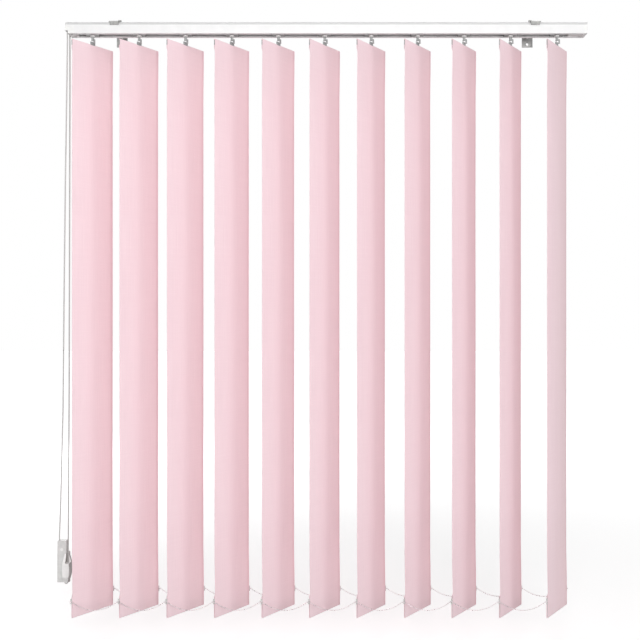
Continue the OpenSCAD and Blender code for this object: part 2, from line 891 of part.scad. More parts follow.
// The stem that turns in its carrier, with its gear above and its hook below
module stem() {
    jog_z = vane_top + hook_top;
    peg = vane_top + peg_z;
    lip_y = hanger_t / 2 + hook_lip_gap;
    translate([0, 0, gear_z])
        linear_extrude(gear_h)
            gear_section();
    translate([0, 0, gear_z + gear_h])
        cylinder(h = journal_h, r = journal_r);
    translate([0, 0, jog_z - hook_t])
        cylinder(h = gear_z - jog_z + hook_t, r = stem_r);
    translate([0, 0, rail_z + seat_gap - collar_h])
        cylinder(h = collar_h, r = collar_r);
    block(-hook_w / 2, hook_w / 2, -hook_reach, stem_r, jog_z - hook_t, jog_z);
    block(-hook_w / 2, hook_w / 2, -hook_reach, -hook_reach + hook_t, peg, jog_z);
    block(-hook_w / 2, hook_w / 2, -hook_reach, lip_y + hook_lip_t, peg, peg + hook_t);
    block(-hook_w / 2, hook_w / 2, lip_y, lip_y + hook_lip_t, peg, peg + hook_t + hook_lip_h);
}

module hanger_plate() {
    top = vane_top - plate_down;
    ear_top = top - ear_down;
    peg = vane_top + peg_z;
    hole_w = hook_w + 2 * hole_room;
    difference() {
        union() {
            block(-vane_w / 2 + plate_inset, vane_w / 2 - plate_inset, -hanger_t / 2, hanger_t / 2,
                top - hanger_h, top);
            block(-vane_w / 2 - ear_out, vane_w / 2 + ear_out, -hanger_t / 2, hanger_t / 2,
                ear_top - ear_h, ear_top);
            block(-tongue_w / 2, tongue_w / 2, -hanger_t / 2, hanger_t / 2, top - bite,
                peg + hook_t + tongue_over);
        }
        block(-hole_w / 2, hole_w / 2, -hanger_t, hanger_t, peg - free_gap, peg + hook_t + run_gap);
    }
}

module hanger(i) {
    at_vane(i) {
        color("silver")
            stem();
        color("gainsboro")
            hanger_plate();
    }
}

// The cloth's rows, from foot to top: height, half thickness and how much of the bow it has
bow_rows = [for (k = [0:bow_steps]) [bow_blend * k / bow_steps, 0.5 - 0.5 * cos(180 * k / bow_steps)]];
cloth_rows = concat(
    [[0, foot_half, 0], [foot_pocket_h, foot_half, 0]],
    [for (b = bow_rows) [foot_pocket_h + pocket_ease + b[0], vane_t / 2, b[1]]],
    [for (k = [bow_steps:-1:0])
        [vane_len - top_pocket_h - pocket_ease - bow_rows[k][0], vane_t / 2, bow_rows[k][1]]],
    [[vane_len - top_pocket_h, top_half, 0], [vane_len, top_half, 0]]
);

module cloth() {
    n = cloth_strips + 1;
    rows = len(cloth_rows);
    function shape(x) = 1 - pow(2 * x / vane_w, 2);
    function front(r, c) = r * 2 * n + c;
    function back(r, c) = front(r, c) + n;
    points = [
        for (row = cloth_rows, side = [-1, 1], c = [0:cloth_strips])
            let (x = -vane_w / 2 + vane_w * c / cloth_strips)
                [x, side * row[1] - vane_bow * row[2] * shape(x), row[0]]
    ];
    faces = concat(
        [for (r = [0:rows - 2], c = [0:cloth_strips - 1]) each [
            [front(r, c), front(r + 1, c), front(r + 1, c + 1)],
            [front(r, c), front(r + 1, c + 1), front(r, c + 1)],
            [back(r, c + 1), back(r + 1, c + 1), back(r + 1, c)],
            [back(r, c + 1), back(r + 1, c), back(r, c)]
        ]],
        [for (r = [0:rows - 2]) each [
            [back(r, 0), back(r + 1, 0), front(r + 1, 0), front(r, 0)],
            [front(r, n - 1), front(r + 1, n - 1), back(r + 1, n - 1), back(r, n - 1)]
        ]],
        [for (c = [0:cloth_strips - 1]) each [
            [back(0, c + 1), back(0, c), front(0, c), front(0, c + 1)],
            [back(rows - 1, c), back(rows - 1, c + 1), front(rows - 1, c + 1), front(rows - 1, c)]
        ]]
    );
    polyhedron(points, faces);
}

module vane(i) {
    weight_room = weight_t / 2 + pocket_gap;
    hanger_room = hanger_t / 2 + pocket_gap;
    color("pink")
        at_vane(i)
            translate([0, 0, vane_foot])
                difference() {
                    cloth();
                    block(-vane_w, vane_w, -weight_room, weight_room, weight_z - free_gap,
                        weight_z + weight_h + weight_room_over);
                    block(-vane_w, vane_w, -hanger_room, hanger_room,
                        vane_len - plate_down - hanger_h - plate_room, vane_len - plate_down + plate_room);
                    block(-tongue_w / 2 - free_gap, tongue_w / 2 + free_gap, -hanger_room, hanger_room,
                        vane_len - plate_down, vane_len + cut);
                }
}

module weight(i) {
    z = chain_h + tab_lift;
    color("gainsboro")
        at_vane(i)
            translate([0, 0, vane_foot])
                difference() {
                    union() {
                        block(-weight_w / 2, weight_w / 2, -weight_t / 2, weight_t / 2,
                            weight_z, weight_z + weight_h);
                        block(-ring_x, ring_x, -weight_t / 2, weight_t / 2, z - tab_h / 2, z + tab_h / 2);
                    }
                    for (side = [-1, 1])
                        across(side * (ring_x - ring_bar - ring_hole_r), -weight_t, weight_t,
                            chain_h, ring_hole_r);
                }
}

headrail();
control_end_cap();
idle_end_cap();
tilt_rod();
corner_pulley(-1);  // corner_pulley_front
corner_pulley(1);  // corner_pulley_rear
idle_pulley();
control_cord();
wall_brackets();
rail_clips();
fixings();
tensioner_base();
tensioner_cover();
tensioner_wheel();
front_chain();
rear_chain();
for (i = [1:vane_count]) {
    carrier(i);
    hanger(i);
    vane(i);
    weight(i);
}
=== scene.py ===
import json
import math

import bpy
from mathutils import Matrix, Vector


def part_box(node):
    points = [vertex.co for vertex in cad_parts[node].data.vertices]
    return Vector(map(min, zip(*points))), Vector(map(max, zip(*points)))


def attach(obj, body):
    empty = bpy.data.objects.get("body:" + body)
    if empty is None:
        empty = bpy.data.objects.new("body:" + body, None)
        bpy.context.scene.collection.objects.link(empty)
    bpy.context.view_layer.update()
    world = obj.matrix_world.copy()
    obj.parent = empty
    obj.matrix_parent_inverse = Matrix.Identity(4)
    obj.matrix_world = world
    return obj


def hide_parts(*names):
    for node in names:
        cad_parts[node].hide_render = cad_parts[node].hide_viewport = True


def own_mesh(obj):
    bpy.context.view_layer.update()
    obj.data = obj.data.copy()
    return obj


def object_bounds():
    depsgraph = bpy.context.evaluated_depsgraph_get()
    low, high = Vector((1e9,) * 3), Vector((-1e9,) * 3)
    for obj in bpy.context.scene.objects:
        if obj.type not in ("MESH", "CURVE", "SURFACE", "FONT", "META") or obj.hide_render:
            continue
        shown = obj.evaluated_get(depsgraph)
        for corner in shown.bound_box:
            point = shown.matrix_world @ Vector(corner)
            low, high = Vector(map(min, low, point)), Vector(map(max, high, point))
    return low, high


# Vertical blind: eleven cloth vanes on a headrail, worked by a cord
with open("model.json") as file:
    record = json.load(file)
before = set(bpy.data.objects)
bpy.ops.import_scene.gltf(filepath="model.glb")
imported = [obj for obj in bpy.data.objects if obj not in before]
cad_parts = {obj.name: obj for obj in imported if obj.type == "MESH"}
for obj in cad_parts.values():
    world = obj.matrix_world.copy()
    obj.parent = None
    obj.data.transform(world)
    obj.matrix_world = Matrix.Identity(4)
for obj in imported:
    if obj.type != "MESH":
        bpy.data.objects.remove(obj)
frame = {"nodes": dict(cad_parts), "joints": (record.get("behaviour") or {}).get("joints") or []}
cadLow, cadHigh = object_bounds()
nodes = frame["nodes"]
vaneNumbers = sorted(name[5:] for name in nodes if name.startswith("vane_"))
pivotOf = {j["child"]: Vector(j["pos_m"]) for j in frame["joints"] if j["type"] == "hinge"}
firstPivot = pivotOf["vane_" + vaneNumbers[0]]
lastPivot = pivotOf["vane_" + vaneNumbers[-1]]
vanePitch = (lastPivot.x - firstPivot.x) / (len(vaneNumbers) - 1)
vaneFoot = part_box("vane_01")[0].z
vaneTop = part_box("vane_01")[1].z
vaneWidth = 0.089
openAngle = math.radians(54.5)  # of every vane to the rail, at rest
print("frame loaded,", len(nodes), "nodes")


# Camera, level, at the height of the vanes' middle
cameraValues = {"place": (-0.0083, -1.605, -0.4964), "focal": 50.74, "sensor": 36.0}


def addCamera(values):
    data = bpy.data.cameras.new("camera")
    data.lens = values["focal"]
    data.sensor_width = values["sensor"]
    camera = bpy.data.objects.new("camera", data)
    camera.location = values["place"]
    camera.rotation_euler = (math.pi / 2, 0, 0)
    bpy.context.scene.collection.objects.link(camera)
    bpy.context.scene.camera = camera


addCamera(cameraValues)


def put(tree, kind, inputs=None, **settings):
    # adds a node; an input is either another node's output or a plain value
    made = tree.nodes.new(kind)
    for name, value in settings.items():
        setattr(made, name, value)
    for key, value in (inputs or {}).items():
        if isinstance(value, bpy.types.NodeSocket):
            tree.links.new(value, made.inputs[key])
        else:
            made.inputs[key].default_value = value
    return made


def maths(tree, operation, *values):
    # one step of arithmetic on numbers or other nodes' outputs
    return put(tree, "ShaderNodeMath", dict(enumerate(values)), operation=operation).outputs[0]


def ease(tree, value, low, high, toLow=0.0, toHigh=1.0, kind="SMOOTHSTEP"):
    # goes from toLow to toHigh while the value goes from low to high
    inputs = {"Value": value, "From Min": low, "From Max": high, "To Min": toLow, "To Max": toHigh}
    return put(tree, "ShaderNodeMapRange", inputs, interpolation_type=kind).outputs[0]


def weighted(tree, first, second, share):
    # the first value counts by its share, the second by what is left
    rest = maths(tree, "MULTIPLY", second, 1 - share)
    return maths(tree, "ADD", maths(tree, "MULTIPLY", first, share), rest)


def apart(tree, vector):
    # the x, y and z of a vector
    return put(tree, "ShaderNodeSeparateXYZ", {0: vector}).outputs


def startTree(name, inputs):
    # a geometry tree with named inputs, its way in and its way out
    tree = bpy.data.node_groups.new(name, "GeometryNodeTree")
    tree.interface.new_socket("Geometry", in_out="OUTPUT", socket_type="NodeSocketGeometry")
    for label, kind in inputs:
        tree.interface.new_socket(label, in_out="INPUT", socket_type="NodeSocket" + kind)
    way = tree.nodes.new("NodeGroupInput")
    return tree, way.outputs, tree.nodes.new("NodeGroupOutput")


def endTree(tree, geometry, out, material):
    real = put(tree, "GeometryNodeRealizeInstances", {"Geometry": geometry})
    dressed = put(tree, "GeometryNodeSetMaterial", {"Geometry": real.outputs[0], "Material": material})
    tree.links.new(dressed.outputs[0], out.inputs[0])


def grown(name, tree, values, finish=None):
    # runs a tree on an empty mesh and keeps the result as a plain mesh
    host = bpy.data.objects.new(name + "Host", bpy.data.meshes.new(name + "Host"))
    bpy.context.scene.collection.objects.link(host)
    modifier = host.modifiers.new("tree", "NODES")
    modifier.node_group = tree
    for item in tree.interface.items_tree:
        if item.item_type == "SOCKET" and item.in_out == "INPUT" and item.name in values:
            modifier[item.identifier] = values[item.name]
    if finish:
        finish(host)
    bpy.context.view_layer.update()
    seen = host.evaluated_get(bpy.context.evaluated_depsgraph_get())
    mesh = bpy.data.meshes.new_from_object(seen)
    bpy.data.objects.remove(host)
    piece = bpy.data.objects.new(name, mesh)
    bpy.context.scene.collection.objects.link(piece)
    return piece


# Materials
def startMaterial(name):
    # an empty material with one shader, still to be given its colour
    material = bpy.data.materials.new(name)
    material.use_nodes = True
    tree = material.node_tree
    tree.nodes.clear()
    shader = put(tree, "ShaderNodeBsdfPrincipled")
    put(tree, "ShaderNodeOutputMaterial", {"Surface": shader.outputs[0]})
    return material, tree, shader


def noiseOf(tree, vector, scale=1.0, detail=3.0, roughness=0.55):
    inputs = {"Vector": vector, "Scale": scale, "Detail": detail, "Roughness": roughness}
    return put(tree, "ShaderNodeTexNoise", inputs).outputs["Fac"]


def tinted(tree, amount, dark, light):
    # either colour is three numbers or another node's output
    ends = [c if isinstance(c, bpy.types.NodeSocket) else (*c, 1) for c in (dark, light)]
    return put(tree, "ShaderNodeMix", {0: amount, 6: ends[0], 7: ends[1]}, data_type="RGBA").outputs[2]


def multiplied(tree, colour, tint):
    inputs = {0: 1.0, 6: colour, 7: (*tint, 1)}
    return put(tree, "ShaderNodeMix", inputs, data_type="RGBA", blend_type="MULTIPLY").outputs[2]


def stretched(tree, coordinates, scale):
    return put(tree, "ShaderNodeMapping", {"Vector": coordinates, "Scale": scale}).outputs[0]


def bumped(tree, height, distance, strength, under=None):
    # a finer bump may lie under this one
    inputs = {"Height": height, "Distance": distance, "Strength": strength}
    if under:
        inputs["Normal"] = under
    return put(tree, "ShaderNodeBump", inputs).outputs[0]


# Cloth of the vanes, on the flat map of the strip: x across it, y along it, in metres
clothValues = {
    "light": (0.925, 0.730, 0.770), "dark": (0.885, 0.680, 0.725), "contrast": (0.35, 0.65),
    "threads": 785.0, "threadDepth": 0.00006, "threadPush": 0.5,
    "slubs": (900.0, 14.0, 1.0), "weft": (18.0, 1100.0, 1.0), "slubShare": 0.6,
    "slubDepth": 0.00008, "slubPush": 0.6,
    "drift": (30.0, 2.5, 1.0), "threadShare": 0.7,
    "rearShadeFrom": -0.0178, "rearShadeTint": (0.975, 0.945, 0.935),  # painted shade: the cloth gets darker and pinker towards the rear edge, where the next vane shades it
    "edgeShadeFrom": 0.007, "edgeShadeFull": 0.0035, "edgeShadeTint": (0.94, 0.88, 0.90),  # painted shade in a narrow band along the rear edge, from the rear edge inwards
    "roughness": 0.88, "shine": 0.25, "sheen": 0.15, "sheenRoughness": 0.4,
}
cutEdgeValues = {**clothValues, "light": (0.93, 0.80, 0.83), "dark": (0.90, 0.75, 0.79)}


def threadBands(tree, flat, scale, direction):
    return put(tree, "ShaderNodeTexWave", {
        "Vector": stretched(tree, flat, scale), "Scale": 1.0, "Distortion": 0.0},
        wave_type="BANDS", bands_direction=direction).outputs["Fac"]


def clothMaterial(name, values):
    material, tree, shader = startMaterial(name)
    flat = put(tree, "ShaderNodeUVMap", uv_map="clothFlat").outputs[0]
    across = threadBands(tree, flat, (values["threads"], 0, 0), "X")
    along = threadBands(tree, flat, (0, values["threads"], 0), "Y")
    weave = maths(tree, "MAXIMUM", across, along)
    slubs = noiseOf(tree, stretched(tree, flat, values["slubs"]))
    weft = noiseOf(tree, stretched(tree, flat, values["weft"]))
    drift = noiseOf(tree, stretched(tree, flat, values["drift"]), detail=2.0)
    threads = weighted(tree, slubs, weft, values["slubShare"])
    shade = weighted(tree, threads, drift, values["threadShare"])
    colour = tinted(tree, ease(tree, shade, *values["contrast"]), values["dark"], values["light"])
    sideways = apart(tree, flat)[0]
    rearEdge = vaneWidth / 2
    # painted shade: darker and pinker towards the rear edge
    rearShade = ease(tree, sideways, values["rearShadeFrom"], rearEdge, kind="LINEAR")
    # painted shade in a narrow band along the rear edge
    edgeShade = ease(tree, sideways, rearEdge - values["edgeShadeFrom"], rearEdge - values["edgeShadeFull"])
    for amount, tint in ((rearShade, values["rearShadeTint"]), (edgeShade, values["edgeShadeTint"])):
        colour = tinted(tree, amount, colour, multiplied(tree, colour, tint))
    fine = bumped(tree, weave, values["threadDepth"], values["threadPush"])
    rough = bumped(tree, threads, values["slubDepth"], values["slubPush"], fine)
    tree.links.new(colour, shader.inputs["Base Color"])
    tree.links.new(rough, shader.inputs["Normal"])
    shader.inputs["Roughness"].default_value = values["roughness"]
    shader.inputs["Specular IOR Level"].default_value = values["shine"]
    shader.inputs["Sheen Weight"].default_value = values["sheen"]
    shader.inputs["Sheen Roughness"].default_value = values["sheenRoughness"]
    return material


def insideBand(tree, value, low, high):
    above = maths(tree, "GREATER_THAN", value, low)
    return maths(tree, "MULTIPLY", above, maths(tree, "LESS_THAN", value, high))


# Shared by the plastics and metals: the noise values from dark to light, and how strongly the relief shows
finishValues = {
    "mottleSpan": (0.3, 0.7), "peelPush": 0.5,
    "platingSpan": (0.35, 0.65), "linesShare": 0.6, "linesPush": 0.4,
}


def coatedMaterial(name, values):
    # moulded or painted: a faint mottle, a fine orange peel and a slightly uneven gloss
    material, tree, shader = startMaterial(name)
    place = put(tree, "ShaderNodeTexCoord").outputs["Object"]
    span = finishValues["mottleSpan"]
    mottle = noiseOf(tree, place, values["mottle"])
    peel = noiseOf(tree, place, values["peel"], detail=2.0)
    colour = tinted(tree, ease(tree, mottle, *span), values["dark"], values["light"])
    if "groove" in values:  # painted shade in the bottom of both grooves, by height and by distance from the middle
        at = apart(tree, place)
        groove = values["groove"]
        aside = maths(tree, "ABSOLUTE", maths(tree, "SUBTRACT", at[1], groove["middle"]))
        dusty = maths(tree, "MULTIPLY", insideBand(tree, at[2], *groove["heights"]),
                      insideBand(tree, aside, *groove["depths"]))
        colour = tinted(tree, dusty, colour, groove["dust"])
    if "collar" in values:  # the part that turns in the slot keeps the plastic's own white; the darker grey below it is painted shade
        collar = values["collar"]
        white = maths(tree, "GREATER_THAN", apart(tree, place)[2], collar["foot"])
        colour = tinted(tree, white, colour, collar["tint"])
    if "shadedRightSide" in values:  # painted shade: a darker side wall, by the way the surface faces
        side = values["shadedRightSide"]
        facing = apart(tree, put(tree, "ShaderNodeNewGeometry").outputs["Normal"])[0]
        colour = tinted(tree, ease(tree, facing, *side["facing"]), colour, side["tint"])
    tree.links.new(colour, shader.inputs["Base Color"])
    tree.links.new(ease(tree, mottle, *span, *values["roughness"]), shader.inputs["Roughness"])
    tree.links.new(bumped(tree, peel, values["depth"], finishValues["peelPush"]), shader.inputs["Normal"])
    shader.inputs["Transmission Weight"].default_value = values.get("clear", 0.0)
    shader.inputs["Specular IOR Level"].default_value = values.get("shine", 0.5)
    return material


def drawnMaterial(name, values):
    # metal with fine lines along one axis and cloudy plating over them
    material, tree, shader = startMaterial(name)
    place = put(tree, "ShaderNodeTexCoord").outputs["Object"]
    lines = noiseOf(tree, stretched(tree, place, values["stretch"]), values["lines"])
    clouds = noiseOf(tree, place, values["clouds"], detail=4.0)
    both = weighted(tree, lines, clouds, finishValues["linesShare"])
    colour = tinted(tree, ease(tree, both, *finishValues["platingSpan"]), values["dark"], values["light"])
    gloss = ease(tree, both, *finishValues["mottleSpan"], *values["roughness"])
    relief = bumped(tree, lines, values["depth"], finishValues["linesPush"])
    tree.links.new(colour, shader.inputs["Base Color"])
    tree.links.new(gloss, shader.inputs["Roughness"])
    tree.links.new(relief, shader.inputs["Normal"])
    shader.inputs["Metallic"].default_value = values["metal"]
    return material


def braidMaterial(name, values):
    # strands wound both ways round the cord
    material, tree, shader = startMaterial(name)
    flat = put(tree, "ShaderNodeUVMap", uv_map="cordWrap").outputs[0]
    at = apart(tree, flat)
    turn = maths(tree, "MULTIPLY", at[0], values["strands"])
    run = maths(tree, "MULTIPLY", at[1], values["picks"])
    waves = []
    for operation in ("ADD", "SUBTRACT"):
        phase = maths(tree, "MULTIPLY", maths(tree, operation, turn, run), 2 * math.pi)
        waves.append(maths(tree, "SINE", phase))
    weave = ease(tree, maths(tree, "MAXIMUM", *waves), *values["strandSpan"])
    fuzz = noiseOf(tree, stretched(tree, flat, values["fuzz"]))
    shade = weighted(tree, weave, fuzz, values["weaveShare"])
    tree.links.new(tinted(tree, shade, values["dark"], values["light"]), shader.inputs["Base Color"])
    tree.links.new(bumped(tree, weave, values["depth"], values["push"]), shader.inputs["Normal"])
    shader.inputs["Roughness"].default_value = values["roughness"]
    return material


cloth = clothMaterial("vaneCloth", clothValues)
cutEdge = clothMaterial("vaneCutEdge", cutEdgeValues)
# painted shade: a grey line along the bottom of the rail's grooves, drawn at the same heights on the end
# caps
grooveValues = {
    "middle": -0.05, "heights": (0.0084, 0.0121), "depths": (0.0112, 0.0126), "dust": (0.61, 0.61, 0.61),
}
railCoat = coatedMaterial("railCoat", {
    "light": (0.79, 0.79, 0.79), "dark": (0.76, 0.76, 0.76), "mottle": 60.0, "peel": 1800.0,
    "depth": 0.00002, "roughness": (0.32, 0.42), "shine": 0.45, "groove": grooveValues})
capPlastic = coatedMaterial("capPlastic", {
    "light": (0.80, 0.80, 0.79), "dark": (0.76, 0.76, 0.75), "mottle": 120.0, "peel": 2600.0,
    "depth": 0.00002, "roughness": (0.38, 0.5), "groove": grooveValues})
# painted shade on the cover's right-facing side wall
coverPlastic = coatedMaterial("coverPlastic", {
    "light": (0.84, 0.84, 0.83), "dark": (0.80, 0.80, 0.79), "mottle": 150.0, "peel": 2600.0,
    "depth": 0.00002, "roughness": (0.38, 0.5),
    "shadedRightSide": {"facing": (0.3, 0.6), "tint": (0.34, 0.33, 0.32)}})
# painted shade: the carriers are nearly black, standing in for the shade inside the rail's slot
carrierPlastic = coatedMaterial("carrierPlastic", {
    "light": (0.18, 0.18, 0.18), "dark": (0.13, 0.13, 0.13), "mottle": 200.0, "peel": 3000.0,
    "depth": 0.00002, "roughness": (0.3, 0.45)})
greyPlastic = coatedMaterial("greyPlastic", {
    "light": (0.67, 0.67, 0.66), "dark": (0.60, 0.60, 0.59), "mottle": 160.0, "peel": 2800.0,
    "depth": 0.00003, "roughness": (0.4, 0.55)})
# painted shade: the hanger is dark grey below its white collar, where the rail shades it
hangerPlastic = coatedMaterial("hangerPlastic", {
    "light": (0.38, 0.39, 0.39), "dark": (0.32, 0.33, 0.33), "mottle": 240.0, "peel": 3000.0,
    "depth": 0.00001, "roughness": (0.28, 0.4), "collar": {"foot": -0.0084, "tint": (0.86, 0.86, 0.85)}})
weightPlastic = coatedMaterial("weightPlastic", {
    "light": (0.70, 0.69, 0.68), "dark": (0.61, 0.60, 0.59), "mottle": 180.0, "peel": 1200.0,
    "depth": 0.00005, "roughness": (0.5, 0.65)})
chainPlastic = coatedMaterial("chainPlastic", {
    "light": (0.94, 0.85, 0.87), "dark": (0.89, 0.79, 0.81), "mottle": 400.0, "peel": 4000.0,
    "depth": 0.00001, "roughness": (0.25, 0.35), "clear": 0.6})
zincPlate = drawnMaterial("zincPlate", {
    "light": (0.46, 0.46, 0.45), "dark": (0.34, 0.34, 0.34), "stretch": (1.0, 1.0, 14.0), "lines": 60.0,
    "clouds": 180.0, "roughness": (0.3, 0.5), "depth": 0.00002, "metal": 0.9})
springSteel = drawnMaterial("springSteel", {
    "light": (0.28, 0.28, 0.27), "dark": (0.20, 0.20, 0.20), "stretch": (16.0, 1.0, 1.0), "lines": 50.0,
    "clouds": 260.0, "roughness": (0.45, 0.6), "depth": 0.00001, "metal": 0.9})
rodMetal = drawnMaterial("rodMetal", {
    "light": (0.78, 0.78, 0.79), "dark": (0.66, 0.66, 0.67), "stretch": (0.3, 30.0, 30.0), "lines": 80.0,
    "clouds": 90.0, "roughness": (0.22, 0.36), "depth": 0.00001, "metal": 1.0})
cordBraid = braidMaterial("cordBraid", {
    "light": (0.62, 0.62, 0.61), "dark": (0.38, 0.38, 0.37), "strands": 8.0, "picks": 420.0,
    "strandSpan": (-0.4, 1.0), "fuzz": (12.0, 1500.0, 1.0), "weaveShare": 0.7, "depth": 0.00012,
    "push": 0.7, "roughness": 0.75})
print("materials made")


# What each of the frame's nodes is made of
def dress(node, material):
    nodes[node].data.materials.clear()
    nodes[node].data.materials.append(material)


finishes = {
    "headrail": railCoat, "control_end_cap": capPlastic, "idle_end_cap": capPlastic,
    "tilt_rod": rodMetal, "corner_pulley_front": greyPlastic, "corner_pulley_rear": greyPlastic,
    "idle_pulley": greyPlastic, "control_cord": cordBraid, "wall_brackets": zincPlate,
    "rail_clips": springSteel, "fixings": capPlastic, "tensioner_base": greyPlastic,
    "tensioner_cover": coverPlastic, "tensioner_wheel": greyPlastic, "front_chain": chainPlastic,
    "rear_chain": chainPlastic,
}
for node, material in finishes.items():
    dress(node, material)
for number in vaneNumbers:
    dress("carrier_" + number, carrierPlastic)
    dress("hanger_" + number, hangerPlastic)
    dress("weight_" + number, weightPlastic)
    dress("vane_" + number, cloth)


# Control cord, one loop over the corner pulleys and round the tensioner's wheel, points in millimetres
cordValues = {
    "diameter": 0.0022, "sides": 12,
    "short": 0.012, "cuts": 4, "longCut": 0.02,  # stretches under "short" are bent, in this many cuts
    "points": [
        (0, -57.6, 8.5), (-436.5, -57.6, 8.5), (-439, -57.6, 7.83), (-440.83, -57.6, 6),
        (-441.5, -57.6, 3.5), (-441.61, -57.5, -20.2), (-442.5, -57.02, -80), (-446.49, -52.01, -249.7),
        (-452, -40.98, -449.9), (-457.51, -28, -650), (-465.6, -14.35, -819.8), (-469.2, -9, -876.7),
        (-469.2, -9, -945), (-468.61, -9, -947.98), (-466.92, -9, -950.52), (-464.38, -9, -952.21),
        (-461.4, -9, -952.8), (-458.42, -9, -952.21), (-455.88, -9, -950.52), (-454.19, -9, -947.98),
        (-453.6, -9, -945), (-453.6, -9, -876.7), (-452.75, -10.67, -819.8), (-449.78, -17.98, -650),
        (-447.05, -25.5, -449.9), (-444.32, -33.52, -249.7), (-442.14, -40, -80), (-441.58, -42.3, -20.2),
        (-441.5, -42.4, 3.5), (-440.83, -42.4, 6), (-439, -42.4, 7.83), (-436.5, -42.4, 8.5),
        (433.5, -42.4, 8.5), (436.41, -42.98, 8.5), (438.87, -44.63, 8.5), (440.52, -47.09, 8.5),
        (441.1, -50, 8.5), (440.52, -52.91, 8.5), (438.87, -55.37, 8.5), (436.41, -57.02, 8.5),
        (433.5, -57.6, 8.5), (0.1, -57.6, 8.5),
    ],
}


def smoothRoute(values):
    # short stretches are rounded through their neighbours, long ones stay straight
    points = [Vector(p) / 1000 for p in values["points"]]
    route = []
    for i in range(len(points) - 1):
        a, b = points[i], points[i + 1]
        before, after = points[max(i - 1, 0)], points[min(i + 2, len(points) - 1)]
        span = (b - a).length
        bent = span < values["short"]
        cuts = values["cuts"] if bent else max(1, round(span / values["longCut"]))
        for k in range(cuts):
            t = k / cuts
            spot = a.lerp(b, t)
            if bent:
                leave = (b - before).normalized() * span
                arrive = (after - a).normalized() * span
                spot = (a * (2 * t**3 - 3 * t**2 + 1) + leave * (t**3 - 2 * t**2 + t)
                        + b * (3 * t**2 - 2 * t**3) + arrive * (t**3 - t**2))
            route.append(spot)
    return route + [points[-1]]


def tubeAlong(name, route, radius, sides, material, uvName):
    # a tube on the route, with its turn and its length kept as a flat map
    headings = []
    for i in range(len(route)):
        before, after = route[max(i - 1, 0)], route[min(i + 1, len(route) - 1)]
        headings.append((after - before).normalized())
    side = headings[0].orthogonal().normalized()
    verts, lengths, run = [], [], 0.0
    for i, spot in enumerate(route):
        run += (spot - route[i - 1]).length if i else 0.0
        lengths.append(run)
        side = (side - headings[i] * side.dot(headings[i])).normalized()
        other = headings[i].cross(side)
        for k in range(sides):
            turn = 2 * math.pi * k / sides
            verts.append(spot + (side * math.cos(turn) + other * math.sin(turn)) * radius)
    faces = []
    for i in range(len(route) - 1):
        for k in range(sides):
            a, b = i * sides + k, i * sides + (k + 1) % sides
            faces.append((a, b, b + sides, a + sides))
    last = (len(route) - 1) * sides
    faces.append(tuple(reversed(range(sides))))
    faces.append(tuple(last + k for k in range(sides)))
    mesh = bpy.data.meshes.new(name)
    mesh.from_pydata(verts, [], faces)
    flat = mesh.uv_layers.new(name=uvName)
    for face in mesh.polygons[:-2]:  # all but the two end faces
        ring, step = divmod(face.index, sides)
        spots = ((step, ring), (step + 1, ring), (step + 1, ring + 1), (step, ring + 1))
        for loop, (k, i) in zip(face.loop_indices, spots):
            flat.data[loop].uv = (k / sides, lengths[i])
    mesh.shade_smooth()
    mesh.materials.append(material)
    piece = bpy.data.objects.new(name, mesh)
    bpy.context.scene.collection.objects.link(piece)
    return piece, run


cordRoute = smoothRoute(cordValues)
cordPiece, cordLength = tubeAlong("control_cord_braid", cordRoute, cordValues["diameter"] / 2,
                                  cordValues["sides"], cordBraid, "cordWrap")
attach(cordPiece, "root")
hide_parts("control_cord")
print("cord made,", round(cordLength, 3), "m")


# Vanes: one strip of cloth each, folded back and welded into a pocket at both ends
vaneValues = {
    "width": vaneWidth, "thickness": 0.0005, "bow": 0.0025, "blend": 0.14, "strips": 16,
    "ripple": 0.0004, "rippleScale": (9.0, 1.0, 3.2), "seedStep": 1.7,
    "footPocket": 0.038, "topPocket": 0.018,  # heights of the pockets
    "footHalf": 0.00115, "topHalf": 0.00095,  # from a pocket's middle to the middle of its cloth
    "weightTop": 0.0343, "plateFoot": 0.0156,  # how far weight and hanger plate reach in from the ends
    "weldFlap": 0.003, "weldRise": 0.001, "flapLift": 0.00053,
    "footWeld": 0.001, "topWeld": 0.0008, "settle": 0.07,  # depth of the welds, and the way back from them
    "footEase": 0.006, "topEase": 0.004,  # where the front leaves the weight and the plate
    "bodyStep": 0.014, "foldSteps": 8, "slotHalf": 0.0056, "slotDepth": 0.0016, "sharpDegrees": 50,
}
vaneLength = vaneTop - vaneFoot
bodyFoot = vaneValues["footPocket"] + vaneValues["weldFlap"]
bodyTop = vaneLength - vaneValues["topPocket"] - vaneValues["weldFlap"]


def settled(distance, reach):
    # 1 at a weld, 0 where the cloth is back in the middle plane
    t = min(max(distance / reach, 0.0), 1.0)
    return 1 - t * t * (3 - 2 * t)


